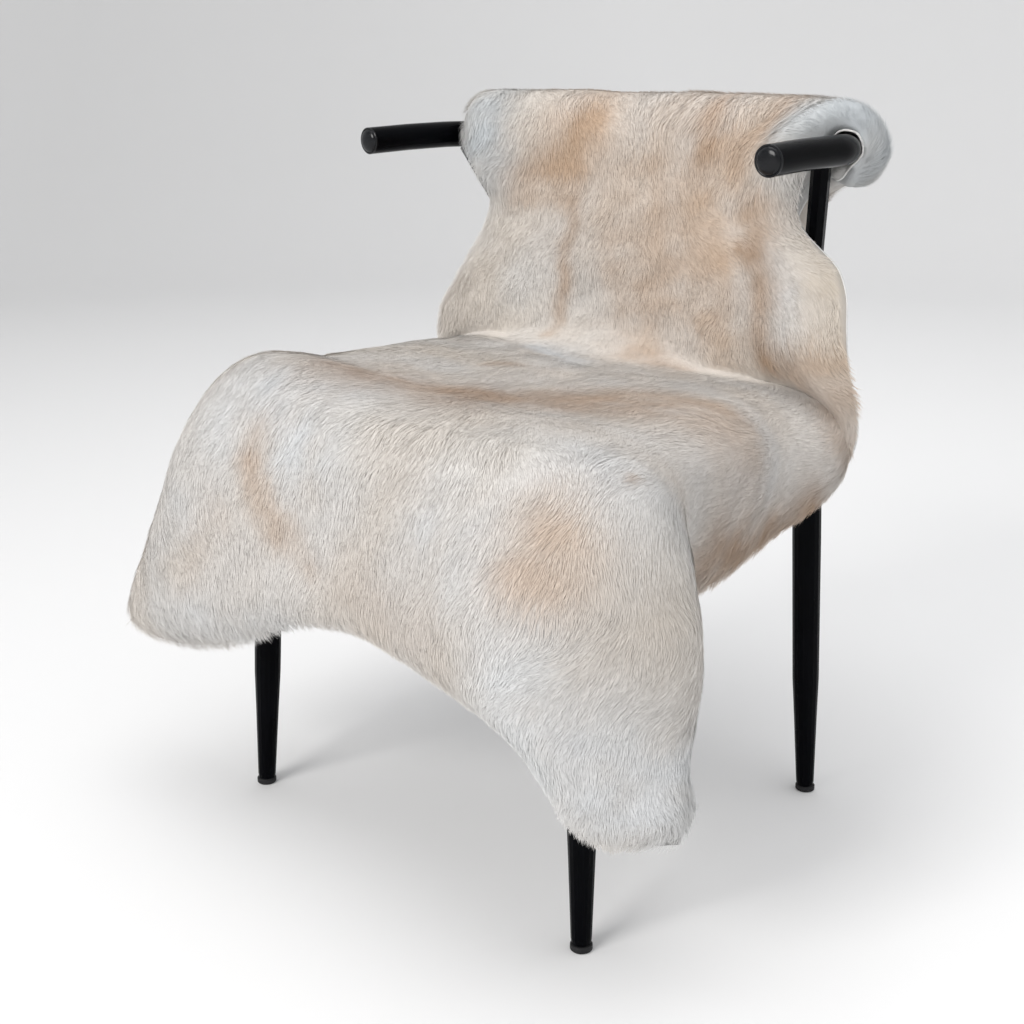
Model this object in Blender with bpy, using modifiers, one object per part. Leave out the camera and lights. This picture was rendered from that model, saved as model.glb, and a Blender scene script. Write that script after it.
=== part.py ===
"""A one-piece sheepskin rug draped over a plain black tubular chair.

Sizes are in millimetres in the tables and are turned into metres where objects are made.
X runs to the sitter's left as seen from the front, -Y is the chair's front, Z is up.
The tables are measured from the middle of the chair's plan, on the floor. CENTRE moves
all of it so that the origin lies under the middle of the whole object's box.
"""

import math

import bmesh
import bpy
import numpy as np
from mathutils import Vector

MM = 0.001
CENTRE = np.array([-9.4, -37.3, 0.0])
GAP = 0.3

# The chair's frame
SEAT_TOP = 458.0
SEAT_THICK = 30.0
SEAT_FRONT_Y = -230.0
SEAT_REAR_Y = 262.0
SEAT_FRONT_HALF = 250.0
SEAT_REAR_HALF = 225.0
SEAT_CORNER_R = 45.0
SEAT_EDGE_R = 12.0

HORN_R = 15.0
HORN_Z = 731.0
HORN_TIP = (275.0, -5.0, 727.0)
HORN_ARM_X = 270.0
HORN_BEND_Y = 107.0
HORN_BEND_R = 80.0
HORN_RAIL_BOW = 6.0
HORN_ARM_MIDDLE = (272.0, 50.0, 729.6)
CAP_THICK = 5.0

STRUT_R = 10.0
STRUT_TOP = (247.4, 125.0, 720.0)
STRUT_FOOT = (159.6, 249.0)
STRUT_FOOT_RISE = 5.2

LEG_SPREAD = {"front": (247.8, -214.2), "rear": (219.7, 212.1)}
LEG_TOP = {"front": (230.0, -199.0), "rear": (204.0, 197.0)}
# Radius of the turned leg at heights above its lower end
LEG_PROFILE = (
    ("rim", 0.0, 9.6),
    ("ankle", 5.0, 10.3),
    ("calf", 84.0, 13.0),
    ("knee", 135.0, 15.0),
    ("thigh", 300.0, 16.0),
    ("top", 1.0e9, 16.0),
)
GLIDE_R = 11.0
GLIDE_H = 6.5
GLIDE_SEAT = 0.8

# The skin
PILE = 42.0
LEFT_EDGE_LOFT = 10.0
RIM_OUT = 17.0
CORNER_OUT = 12.0
LOCK_OUT = 4.5
EDGE_CLEAR = 2.0
FACE_CLEAR = 0.7
SEED = 7

# A row for each section across the skin above the seat, from its hem behind the rail
# down to the seat's rear. Columns: name, the leather's middle y and z, then x, y and z
# of its left rim and of its right rim.
BACK_ROWS = (
    ("rear hem", 218, 575, -165, 219, 604, 140, 220, 600),
    ("rear low", 217, 615, -205, 216, 632, 160, 217, 628),
    ("rear middle", 215, 665, -228, 206, 672, 168, 209, 660),
    ("rear high", 214, 709, -250, 186, 712, 204, 200, 700),
    ("rail back", 213, 733, -260, 172, 735, 226, 182, 703),
    ("rail top", 194, 752, -256, 156, 750, 247, 160, 697),
    ("rail brow", 180, 747, -247, 142, 746, 268, 159, 729),
    ("rail front", 174, 731, -236, 128, 734, 265, 149, 750),
    ("fur roll", 170, 712, -221, 120, 714, 242, 143, 741),
    ("under roll", 167, 688, -205, 124, 688, 206, 150, 694),
    ("waist", 164, 650, -190, 136, 650, 213, 142, 654),
    ("upper back", 162, 605, -222, 136, 603, 264, 130, 608),
    ("middle back", 162, 556, -262, 134, 550, 277, 122, 556),
    ("lower back", 158, 512, -286, 128, 505, 301, 118, 512),
)

# The flap over the rail's right corner. Columns: the section's name, then x, y and z of
# the point between its shoulder and its rim.
FLAP_ROWS = (
    ("rear high", 222, 197, 716),
    ("rail back", 238, 194, 734),
    ("rail top", 258, 177, 739),
    ("rail brow", 262, 160, 748),
    ("rail front", 250, 153, 750),
)

# Sections across the seat. Columns: name, y, height of the middle, of the left rim and
# of the right rim.
SEAT_ROWS = (
    ("seat back", 70, 458, 380, 366),
    ("seat middle", 5, 458, 356, 350),
    ("seat fore", -65, 458, 348, 340),
    ("seat front", -130, 458, 342, 334),
)

# Sections given point by point: the turn from back to seat, and from the seat's front
# down over its edge to the two leg lobes. Columns: name, the middle's y and z, then
# x, y and z of the left shoulder, fold and rim and of the right shoulder, fold and rim.
BEND_ROWS = (
    ("seat rear", 122, 470, (-232, 124, 470), (-272, 128, 460), (-278, 132, 418),
     (236, 138, 474), (291, 142, 466), (297, 148, 420)),
)
FRONT_ROWS = (
    ("corner", -186, 460, (-244, -182, 478), (-272, -180, 446), (-280, -158, 345),
     (246, -182, 456), (290, -174, 422), (286, -138, 332)),
    ("brink", -226, 455, (-246, -220, 472), (-278, -212, 420), (-290, -192, 326),
     (254, -222, 450), (312, -202, 410), (308, -172, 326)),
    ("front top", -243, 430, (-254, -248, 440), (-293, -236, 374), (-308, -222, 298),
     (272, -250, 428), (326, -208, 368), (326, -190, 286)),
    ("front upper", -250, 385, (-258, -266, 386), (-310, -260, 322), (-332, -250, 262),
     (264, -286, 390), (326, -216, 324), (330, -198, 254)),
    ("front middle", -254, 340, (-244, -276, 326), (-316, -278, 272), (-356, -268, 230),
     (252, -296, 346), (322, -224, 268), (338, -202, 222)),
    ("front lower", -255, 304, (-222, -282, 264), (-310, -288, 228), (-368, -277, 208),
     (250, -294, 296), (312, -242, 206), (352, -206, 192)),
    ("front hem", -254, 282, (-196, -284, 222), (-300, -291, 198), (-364, -286, 196),
     (250, -288, 256), (294, -262, 168), (350, -216, 168)),
)
HALFWAY_DROP = 0.2
SIDE_OUT = 18.0
SIDE_RIM_OUT = 14.0
SIDE_BEND = 30.0

# Steps between one section and the next, and between stations across
STEP = 19.0
ACROSS_STEPS = (3, 3, 4, 5, 5, 4, 3, 3)

# Troughs pressed into the fur. Columns: name, the section and station numbers where it
# starts and where it ends, its width and its depth. The hem behind the rail is section 0
# and the left rim is station 0.
CREASES = (
    ("right back fold", 7.5, 6.1, 13.6, 5.6, 22, 14),
    ("under the fur roll", 9.6, 0.6, 8.6, 3.0, 20, 16),
    ("left back fold", 10.5, 2.6, 13.6, 3.4, 26, 9),
    ("seat hollow", 17.2, 1.6, 17.5, 5.4, 44, 6),
    ("left lobe fold", 19.5, 2.0, 24.0, 2.6, 26, 12),
    ("rear corner", 2.5, 8.0, 2.5, 7.6, 24, 12),
    ("right flank crease", 14.5, 7.15, 20.0, 7.3, 18, 16),
)


def clear_scene():
    for old in list(bpy.data.objects):
        bpy.data.objects.remove(old, do_unlink=True)


def new_collection(name):
    made = bpy.data.collections.new(name)
    bpy.context.scene.collection.children.link(made)
    return made


def material(name, colour, roughness, metallic=0.0):
    made = bpy.data.materials.new(name)
    made.use_nodes = True
    shader = made.node_tree.nodes["Principled BSDF"]
    shader.inputs["Base Color"].default_value = (*colour, 1.0)
    shader.inputs["Roughness"].default_value = roughness
    shader.inputs["Metallic"].default_value = metallic
    return made


def place(point):
    """A table point in millimetres as a position in metres, centred."""
    return tuple((np.asarray(point, float) - CENTRE) * MM)


def mirrored(point, side):
    return (point[0] * side, point[1], point[2])


# Curves through named points
def through(points, knots, samples):
    """Smooth curve through rows of points; the knots set its pace, and it overshoots little."""
    points = np.asarray(points, float)
    knots = np.asarray(knots, float)
    gaps = np.diff(knots)
    shape = (-1,) + (1,) * (points.ndim - 1)
    slopes = np.diff(points, axis=0) / gaps.reshape(shape)
    tangents = np.empty_like(points)
    tangents[0] = slopes[0]
    tangents[-1] = slopes[-1]
    before = gaps[:-1].reshape(shape)
    after = gaps[1:].reshape(shape)
    tangents[1:-1] = (slopes[:-1] * after + slopes[1:] * before) / (before + after)
    index = np.clip(np.searchsorted(knots, samples, side="right") - 1, 0, len(gaps) - 1)
    width = gaps[index]
    u = ((samples - knots[index]) / width).reshape(shape)
    width = width.reshape(shape)
    start, end = points[index], points[index + 1]
    go, come = tangents[index] * width, tangents[index + 1] * width
    return (
        start * (2 * u**3 - 3 * u**2 + 1)
        + go * (u**3 - 2 * u**2 + u)
        + end * (3 * u**2 - 2 * u**3)
        + come * (u**3 - u**2)
    )


def horn_line(bend_steps=8, rail_steps=8):
    """Centre line of the tube that makes both arms and the back rail, left tip to right tip."""
    centre_x = HORN_ARM_X - HORN_BEND_R
    half = [HORN_TIP, HORN_ARM_MIDDLE, (HORN_ARM_X, HORN_BEND_Y, HORN_Z)]
    for k in range(1, bend_steps + 1):
        angle = 0.5 * math.pi * k / bend_steps
        x = centre_x + HORN_BEND_R * math.cos(angle)
        half.append((x, HORN_BEND_Y + HORN_BEND_R * math.sin(angle), HORN_Z))
    rail_y = HORN_BEND_Y + HORN_BEND_R
    rail = []
    for k in range(1, rail_steps):
        x = centre_x * (1 - 2 * k / rail_steps)
        rail.append((x, rail_y + HORN_RAIL_BOW * (1 - (x / centre_x) ** 2), HORN_Z))
    right = [np.array(p) for p in half]
    left = [np.array((-p[0], p[1], p[2])) for p in reversed(half)]
    return np.array(right + [np.array(p) for p in rail] + left)


def strut_line(side):
    foot = (STRUT_FOOT[0], STRUT_FOOT[1], SEAT_TOP + GAP + STRUT_FOOT_RISE)
    return np.array([mirrored(STRUT_TOP, side), mirrored(foot, side)], float)


# The chair's pieces
def add_object(name, data, look, home):
    made = bpy.data.objects.new(name, data)
    data.materials.append(look)
    home.objects.link(made)
    return made


def add_tube(name, line, radius, look, home, resolution=3):
    data = bpy.data.curves.new(name, "CURVE")
    data.dimensions = "3D"
    data.bevel_depth = radius * MM
    data.bevel_resolution = resolution
    data.use_fill_caps = True
    spline = data.splines.new("POLY")
    spline.points.add(len(line) - 1)
    for point, target in zip(spline.points, line):
        point.co = (*place(target), 1.0)
    spline.use_smooth = True
    return add_object(name, data, look, home)


def add_turned(name, profile, foot, top, look, home, steps=16):
    """A turned piece: (radius, height) pairs from top to bottom, its axis from foot to top."""
    data = bpy.data.meshes.new(name)
    points = [(r * MM, 0.0, h * MM) for r, h in profile]
    data.from_pydata(points, [(k, k + 1) for k in range(len(points) - 1)], [])
    made = add_object(name, data, look, home)
    screw = made.modifiers.new("turn", "SCREW")
    screw.steps = steps
    screw.render_steps = steps
    screw.use_merge_vertices = True
    screw.merge_threshold = 0.00001
    screw.use_smooth_shade = True
    axis = Vector(top) - Vector(foot)
    made.rotation_mode = "QUATERNION"
    made.rotation_quaternion = axis.to_track_quat("Z", "Y")
    made.location = place(foot)
    return made


def seat_outline(grow=0.0, corner_steps=6):
    """The seat's plan: a trapezium with round corners, anticlockwise from above."""
    radius = SEAT_CORNER_R
    front, rear = SEAT_FRONT_HALF, SEAT_REAR_HALF
    corners = (
        (front - radius, SEAT_FRONT_Y + radius, -90),
        (rear - radius, SEAT_REAR_Y - radius, 0),
        (radius - rear, SEAT_REAR_Y - radius, 90),
        (radius - front, SEAT_FRONT_Y + radius, 180),
    )
    outline = []
    for x, y, start in corners:
        for k in range(corner_steps + 1):
            angle = math.radians(start + 90 * k / corner_steps)
            reach = radius + grow
            outline.append((x + reach * math.cos(angle), y + reach * math.sin(angle)))
    return outline


def build_seat(look, home):
    data = bpy.data.curves.new("seat", "CURVE")
    data.dimensions = "2D"
    data.fill_mode = "BOTH"
    data.extrude = (0.5 * SEAT_THICK - SEAT_EDGE_R) * MM
    data.bevel_depth = SEAT_EDGE_R * MM
    data.bevel_resolution = 2
    outline = seat_outline(grow=-SEAT_EDGE_R)
    spline = data.splines.new("POLY")
    spline.points.add(len(outline) - 1)
    spline.use_cyclic_u = True
    for point, (x, y) in zip(spline.points, outline):
        point.co = (x * MM, y * MM, 0.0, 1.0)
    made = add_object("seat", data, look, home)
    made.location = place((0.0, 0.0, SEAT_TOP - 0.5 * SEAT_THICK))
    return made


def build_horn(look, cap_look, home):
    line = horn_line()
    add_tube("horn_tube", line, HORN_R, look, home, resolution=3)
    for side, name in ((1, "right"), (-1, "left")):
        tip = np.array(mirrored(HORN_TIP, side), float)
        behind = line[1] if side == 1 else line[-2]
        out = (tip - behind) / np.linalg.norm(tip - behind)
        foot = tip + out * GAP
        profile = (
            (0.0, CAP_THICK), (0.45 * HORN_R, CAP_THICK - 0.5), (0.8 * HORN_R, CAP_THICK - 1.9),
            (HORN_R, 1.2), (HORN_R, 0.0), (0.0, 0.0),
        )
        add_turned("arm_cap_" + name, profile, foot, foot + out, cap_look, home, steps=24)


def build_struts(look, home):
    for side, name in ((1, "right"), (-1, "left")):
        add_tube("strut_" + name, strut_line(side), STRUT_R, look, home, resolution=2)


def leg_axis(end, side):
    x, y = LEG_SPREAD[end]
    top_x, top_y = LEG_TOP[end]
    foot = np.array((side * x, y, 0.0))
    top = np.array((side * top_x, top_y, SEAT_TOP - SEAT_THICK))
    return foot, top


def build_legs(look, glide_look, home):
    for end in ("front", "rear"):
        for side, name in ((1, "right"), (-1, "left")):
            foot, top = leg_axis(end, side)
            axis = (top - foot) / np.linalg.norm(top - foot)
            tilt_drop = LEG_PROFILE[-1][2] * math.hypot(axis[0], axis[1])
            low = foot + axis * (GLIDE_H + GLIDE_SEAT) / axis[2]
            length = np.linalg.norm(top - low) - tilt_drop - GAP
            profile = [(0.0, length)]
            for _, height, radius in reversed(LEG_PROFILE):
                profile.append((radius, min(height, length)))
            profile.append((0.0, 0.0))
            add_turned("leg_%s_%s" % (end, name), profile, low, low + axis, look, home)
            disc = (
                (0.0, GLIDE_H), (GLIDE_R - 1.0, GLIDE_H), (GLIDE_R, GLIDE_H - 1.0),
                (GLIDE_R, 1.0), (GLIDE_R - 1.0, 0.0), (0.0, 0.0),
            )
            up = foot + np.array((0.0, 0.0, 1.0))
            add_turned("glide_%s_%s" % (end, name), disc, foot, up, glide_look, home, steps=20)


# The skin's leather surface
def back_section(row, flap):
    """Nine stations across a section above the seat, from the left rim to the right rim."""
    _, mid_y, mid_z, *rims = row
    mid = np.array((0.0, mid_y, mid_z))
    left, right = np.array(rims[:3], float), np.array(rims[3:], float)

    def station(rim, reach, bow):
        return mid + (rim - mid) * np.array((reach, bow, bow))

    stations = [station(left, reach, reach**2) for reach in (1.0, 0.86, 0.66, 0.34)] + [mid]
    if flap is None:
        return stations + [station(right, reach, reach**2) for reach in (0.34, 0.66, 0.86, 1.0)]
    fold = np.array(flap, float)
    return stations + [station(fold, 0.38, 0.08), station(fold, 0.76, 0.42), fold, right]


def seat_section(row):
    _, y, mid_z, left_z, right_z = row
    along = (y - SEAT_FRONT_Y) / (SEAT_REAR_Y - SEAT_FRONT_Y)
    half = SEAT_FRONT_HALF + (SEAT_REAR_HALF - SEAT_FRONT_HALF) * along
    return [
        (-half - SIDE_RIM_OUT, y, left_z),
        (-half - SIDE_OUT, y, SEAT_TOP - SIDE_BEND),
        (-half + 8.0, y, SEAT_TOP),
        (-0.5 * half, y, mid_z),
        (0.0, y, mid_z),
        (0.5 * half, y, mid_z),
        (half - 8.0, y, SEAT_TOP),
        (half + SIDE_OUT, y, SEAT_TOP - SIDE_BEND),
        (half + SIDE_RIM_OUT, y, right_z),
    ]


def point_section(row):
    _, mid_y, mid_z, *points = row
    mid = np.array((0.0, mid_y, mid_z))
    left_shoulder, left_fold, left_rim, right_shoulder, right_fold, right_rim = np.array(points, float)
    halfway = np.array((0.5, 0.5, HALFWAY_DROP))
    left_in = mid + (left_shoulder - mid) * halfway
    right_in = mid + (right_shoulder - mid) * halfway
    return [left_rim, left_fold, left_shoulder, left_in, mid,
            right_in, right_shoulder, right_fold, right_rim]


def skin_sections():
    flaps = {row[0]: row[1:] for row in FLAP_ROWS}
    sections = [back_section(row, flaps.get(row[0])) for row in BACK_ROWS]
    sections += [point_section(row) for row in BEND_ROWS]
    sections += [seat_section(row) for row in SEAT_ROWS]
    sections += [point_section(row) for row in FRONT_ROWS]
    return np.array(sections, float)


def sampled(knots, steps):
    parts = [np.linspace(a, b, n, endpoint=False) for a, b, n in zip(knots[:-1], knots[1:], steps)]
    return np.concatenate(parts + [[knots[-1]]])


def leather_grid():
    """Points of the leather's underside, with each point's section and station number."""
    sections = skin_sections()
    middle = sections[:, 4]
    pace = np.maximum(np.linalg.norm(np.diff(middle, axis=0), axis=1), 9.0)
    knots = np.concatenate([[0.0], np.cumsum(pace)])
    steps = np.maximum(1, np.round(pace / STEP)).astype(int)
    steps[(pace < 27.0)] = 2
    down = sampled(knots, steps)
    rows = through(sections, knots, down)
    stations = np.arange(9.0)
    across = sampled(stations, ACROSS_STEPS)
    grid = through(rows.transpose(1, 0, 2), stations, across).transpose(1, 0, 2)
    row_numbers = np.interp(down, knots, np.arange(len(knots)))
    return grid, row_numbers, across


def relax(grid, rounds=2, amount=0.5):
    """Each inner point moves towards the middle of its neighbours; rims move along themselves."""
    for _ in range(rounds):
        moved = grid.copy()
        near = grid[:-2, 1:-1] + grid[2:, 1:-1] + grid[1:-1, :-2] + grid[1:-1, 2:]
        moved[1:-1, 1:-1] += amount * (near / 4 - grid[1:-1, 1:-1])
        for edge in ((slice(1, -1), 0), (slice(1, -1), -1)):
            ends = grid[:-2, edge[1]] + grid[2:, edge[1]]
            moved[edge] += amount * (ends / 2 - grid[edge])
        for edge in ((0, slice(1, -1)), (-1, slice(1, -1))):
            ends = grid[edge[0], :-2] + grid[edge[0], 2:]
            moved[edge] += amount * (ends / 2 - grid[edge])
        grid = moved
    return grid


def off_line(points, line, clear):
    """Pushes points out to a distance from a bent centre line."""
    flat = points.reshape(-1, 3)
    best = np.full(len(flat), 1.0e9)
    nearest = np.zeros_like(flat)
    for a, b in zip(line[:-1], line[1:]):
        span = b - a
        along = np.clip(((flat - a) @ span) / (span @ span), 0.0, 1.0)
        foot = a + along[:, None] * span
        gap = np.linalg.norm(flat - foot, axis=1)
        closer = gap < best
        best[closer] = gap[closer]
        nearest[closer] = foot[closer]
    inside = best < clear
    away = flat - nearest
    away /= np.maximum(np.linalg.norm(away, axis=1), 1.0e-6)[:, None]
    flat[inside] = nearest[inside] + away[inside] * clear
    return flat.reshape(points.shape)


def seat_distance(points):
    """Distance from the seat's rounded slab, negative inside."""
    x, y, z = points[..., 0], points[..., 1], points[..., 2]
    straight = SEAT_REAR_Y - SEAT_FRONT_Y - 2 * SEAT_CORNER_R
    along = (y - SEAT_FRONT_Y - SEAT_CORNER_R) / straight
    half = SEAT_FRONT_HALF + (SEAT_REAR_HALF - SEAT_FRONT_HALF) * np.clip(along, 0, 1)
    mid_y = 0.5 * (SEAT_FRONT_Y + SEAT_REAR_Y)
    dx = np.abs(x) - (half - SEAT_CORNER_R)
    dy = np.abs(y - mid_y) - (0.5 * (SEAT_REAR_Y - SEAT_FRONT_Y) - SEAT_CORNER_R)
    plan = np.hypot(np.maximum(dx, 0), np.maximum(dy, 0)) + np.minimum(np.maximum(dx, dy), 0)
    plan = plan - SEAT_CORNER_R + SEAT_EDGE_R
    rise = np.abs(z - SEAT_TOP + 0.5 * SEAT_THICK) - 0.5 * SEAT_THICK + SEAT_EDGE_R
    outside = np.hypot(np.maximum(plan, 0), np.maximum(rise, 0))
    return outside + np.minimum(np.maximum(plan, rise), 0) - SEAT_EDGE_R


def off_seat(points, clear):
    """Moves points off the seat: a hair above its top, and further off past its edges."""
    for _ in range(3):
        gap = seat_distance(points)
        slope = []
        for axis in np.eye(3):
            slope.append((seat_distance(points + axis) - seat_distance(points - axis)) / 2)
        slope = np.stack(slope, -1)
        wanted = GAP + (clear - GAP) * (1 - np.clip(slope[..., 2], 0, 1))
        points = points + slope * np.maximum(wanted - gap, 0)[..., None]
    return points


def surface_normals(grid):
    down = np.gradient(grid, axis=0)
    across = np.gradient(grid, axis=1)
    normals = np.cross(across, down)
    normals /= np.linalg.norm(normals, axis=-1)[..., None]
    return -normals


def segment_trough(rows, stations, crease, grid):
    """How far each point lies inside one trough, 0 to 1."""
    _, row_a, station_a, row_b, station_b, width, _ = crease
    count = 40
    t = np.linspace(0, 1, count)
    line_rows = row_a + (row_b - row_a) * t
    line_stations = station_a + (station_b - station_a) * t
    spine = []
    for r, s in zip(line_rows, line_stations):
        i = int(np.argmin(np.abs(rows - r)))
        j = int(np.argmin(np.abs(stations - s)))
        spine.append(grid[i, j])
    spine = np.array(spine)
    gap = np.linalg.norm(grid[:, :, None, :] - spine[None, None], axis=-1).min(-1)
    return np.exp(-((gap / width) ** 2))


def pile_height(grid, rows, stations):
    """Depth of the fur over the leather: thin at the tucked flank, lumpy, pressed at creases."""
    row = rows[:, None]
    station = stations[None, :]
    height = np.full(grid.shape[:2], PILE)
    flank = np.clip((station - 7.2) / 0.5, 0, 1) * np.clip((row - 13.6) / 1.2, 0, 1)
    flank = flank * np.clip((20.2 - row) / 1.5, 0, 1)
    height = height - 26.0 * flank
    x, y, z = grid[..., 0], grid[..., 1], grid[..., 2]
    waves = (
        np.sin(x / 31.0 + y / 47.0 + z / 53.0)
        + np.sin(x / 23.0 - y / 29.0 - z / 37.0 + 1.7)
        + np.sin(y / 19.0 + z / 26.0 + 0.6)
    )
    height = height + 1.3 * waves
    left_edge = np.exp(-(((station - 2.0) / 0.9) ** 2)) * np.exp(-(((row - 17.5) / 2.6) ** 2))
    height = height + LEFT_EDGE_LOFT * left_edge
    for crease in CREASES:
        height = height - crease[-1] * segment_trough(rows, stations, crease, grid)
    return np.maximum(height, 9.0)


def cell_normals(points):
    """Unit normals of the squares between neighbouring points."""
    rise = points[1:, 1:] - points[:-1, :-1]
    fall = points[1:, :-1] - points[:-1, 1:]
    normals = np.cross(rise, fall)
    return normals / np.maximum(np.linalg.norm(normals, axis=-1), 1.0e-9)[..., None]


def crowded(grid, tips):
    """Marks the places where neighbouring tips come close together or change their order."""
    marks = np.zeros(grid.shape[:2], bool)
    for down, across in ((1, 0), (0, 1), (1, 1), (1, -1)):
        first = (slice(0, -1) if down else slice(None),
                 slice(max(0, -across), -across if across > 0 else None))
        after = (slice(1, None) if down else slice(None),
                 slice(max(0, across), across if across < 0 else None))
        base = grid[after] - grid[first]
        step = tips[after] - tips[first]
        bad = (base * step).sum(-1) < 0.35 * (base * base).sum(-1)
        marks[first] |= bad
        marks[after] |= bad
    under, over = cell_normals(grid), cell_normals(tips)
    turned = (under * over).sum(-1) < 0.35
    for rows, columns in ((0, 0), (0, 1), (1, 0), (1, 1)):
        marks[rows:rows + turned.shape[0], columns:columns + turned.shape[1]] |= turned
    return marks


def pressed(grid, normals, height):
    """Presses the pile where the leather bends inward, then eases what is still crowded."""
    for _ in range(30):
        marks = crowded(grid, grid + normals * height[..., None])
        height = np.where(marks, height * 0.94, height)
    push = normals * height[..., None]
    for _ in range(120):
        marks = crowded(grid, grid + push)
        if not marks.any():
            break
        wide = marks.copy()
        wide[1:] |= marks[:-1]
        wide[:-1] |= marks[1:]
        wide[:, 1:] |= marks[:, :-1]
        wide[:, :-1] |= marks[:, 1:]
        framed = np.pad(push, ((1, 1), (1, 1), (0, 0)), mode="edge")
        near = framed[:-2, 1:-1] + framed[2:, 1:-1] + framed[1:-1, :-2] + framed[1:-1, 2:]
        push = np.where(wide[..., None], 0.5 * push + 0.125 * near, push)
    return push


def rim_profile(count, reach=(0.62, 0.86, 0.96)):
    """Share of the full pile on the first lines in from a rim."""
    share = np.ones(count)
    for k, value in enumerate(reach):
        share[k] = value
        share[-1 - k] = value
    return share


def rim_loop(rows, columns):
    """Grid places round the rim, in order."""
    loop = [(0, j) for j in range(columns)]
    loop += [(i, columns - 1) for i in range(1, rows)]
    loop += [(rows - 1, j) for j in range(columns - 2, -1, -1)]
    loop += [(i, 0) for i in range(rows - 2, 0, -1)]
    return loop


def rim_outward(grid, i, j):
    """Direction out of the sheet at a rim point, in the sheet's own plane."""
    rows, columns = grid.shape[:2]
    out = np.zeros(3)
    if i in (0, rows - 1):
        step = grid[i, j] - grid[1 if i == 0 else rows - 2, j]
        out += step / np.linalg.norm(step)
    if j in (0, columns - 1):
        step = grid[i, j] - grid[i, 1 if j == 0 else columns - 2]
        out += step / np.linalg.norm(step)
    return out / np.linalg.norm(out)


def settle(points, triangles, rounds=14):
    """Moves corners until the middles of triangles and of their edges clear the chair too."""
    corners = np.array(triangles)
    weights = ((1, 1, 1), (1, 1, 0), (0, 1, 1), (1, 0, 1))
    for _ in range(rounds):
        push = np.zeros_like(points)
        reach = np.zeros(len(points))
        for share in weights:
            used = [k for k in range(3) if share[k]]
            sample = points[corners[:, used]].mean(axis=1)
            move = clear_of_chair(sample.copy(), FACE_CLEAR, EDGE_CLEAR) - sample
            size = np.linalg.norm(move, axis=1)
            for k in used:
                order = np.argsort(size)
                target = corners[order, k]
                more = size[order] > reach[target]
                push[target[more]] = move[order][more]
                reach[target[more]] = size[order][more]
        if reach.max() < 0.01:
            break
        points = points + 1.1 * push
    return points


def clear_of_chair(points, clear, seat_clear):
    points = off_line(points, horn_line(), HORN_R + clear)
    for side in (1, -1):
        points = off_line(points, strut_line(side), STRUT_R + clear)
    return off_seat(points, seat_clear)


def build_skin(look, home):
    grid, rows, stations = leather_grid()
    grid = relax(grid)
    grid = clear_of_chair(grid, EDGE_CLEAR, EDGE_CLEAR + 1.0)
    normals = surface_normals(grid)
    height = pile_height(grid, rows, stations)
    push = pressed(grid, normals, height)
    share = rim_profile(grid.shape[0])[:, None] * rim_profile(grid.shape[1])[None, :]
    top = grid + push * share[..., None]
    rng = np.random.default_rng(SEED)
    loop = rim_loop(*grid.shape[:2])
    middle_ring = []
    for count, (i, j) in enumerate(loop):
        out = rim_outward(grid, i, j)
        lock = LOCK_OUT * (1.0 if count % 2 else -0.4) * rng.uniform(0.6, 1.2)
        corner = i in (0, grid.shape[0] - 1) and j in (0, grid.shape[1] - 1)
        beyond = CORNER_OUT if corner else RIM_OUT + lock
        middle_ring.append(grid[i, j] + out * beyond + 0.36 * push[i, j])
        top[i, j] += out * 0.5 * RIM_OUT
    top = clear_of_chair(top, EDGE_CLEAR, EDGE_CLEAR + 1.0)
    middle_ring = clear_of_chair(np.array(middle_ring), EDGE_CLEAR, EDGE_CLEAR + 1.0)

    count_rows, columns = grid.shape[:2]
    size = count_rows * columns
    points = np.concatenate([grid.reshape(-1, 3), top.reshape(-1, 3), middle_ring])
    faces = []
    for i in range(count_rows - 1):
        for j in range(columns - 1):
            a = i * columns + j
            under = (a, a + 1, a + columns + 1, a + columns)
            faces.append(under)
            faces.append(tuple(size + k for k in reversed(under)))
    for k, (i, j) in enumerate(loop):
        n = (k + 1) % len(loop)
        a, b = i * columns + j, loop[n][0] * columns + loop[n][1]
        faces.append((b, a, 2 * size + k, 2 * size + n))
        faces.append((2 * size + n, 2 * size + k, size + a, size + b))
    triangles = []
    for face in faces:
        a, b, c, d = face
        if np.linalg.norm(points[a] - points[c]) <= np.linalg.norm(points[b] - points[d]):
            triangles += [(a, b, c), (a, c, d)]
        else:
            triangles += [(a, b, d), (b, c, d)]
    points = settle(points, triangles)
    data = bpy.data.meshes.new("skin")
    data.from_pydata([place(p) for p in points], [], triangles)
    data.shade_smooth()
    return add_object("skin", data, look, home)


def main():
    clear_scene()
    home = new_collection("sheepskin_rug_on_tubular_chair")
    wool = material("ivory wool", (0.80, 0.70, 0.60), 0.95)
    lacquer = material("black lacquered steel", (0.012, 0.012, 0.014), 0.35)
    cap_black = material("black cap", (0.02, 0.02, 0.022), 0.45)
    seat_black = material("black seat", (0.02, 0.02, 0.02), 0.7)
    glide_black = material("black glide", (0.01, 0.01, 0.01), 0.5)
    build_skin(wool, home)
    build_horn(lacquer, cap_black, home)
    build_struts(lacquer, home)
    build_seat(seat_black, home)
    build_legs(lacquer, glide_black, home)


main()
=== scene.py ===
"""Looks of the sheepskin rug on its tubular chair: hide, pile bed, combed wool and lacquer.

The skin's tables are the source's own, in millimetres from the middle of the chair's plan;
CENTRE moves them into the model's frame. +X is the side of the lobe that hangs lowest.
"""

import math

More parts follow.
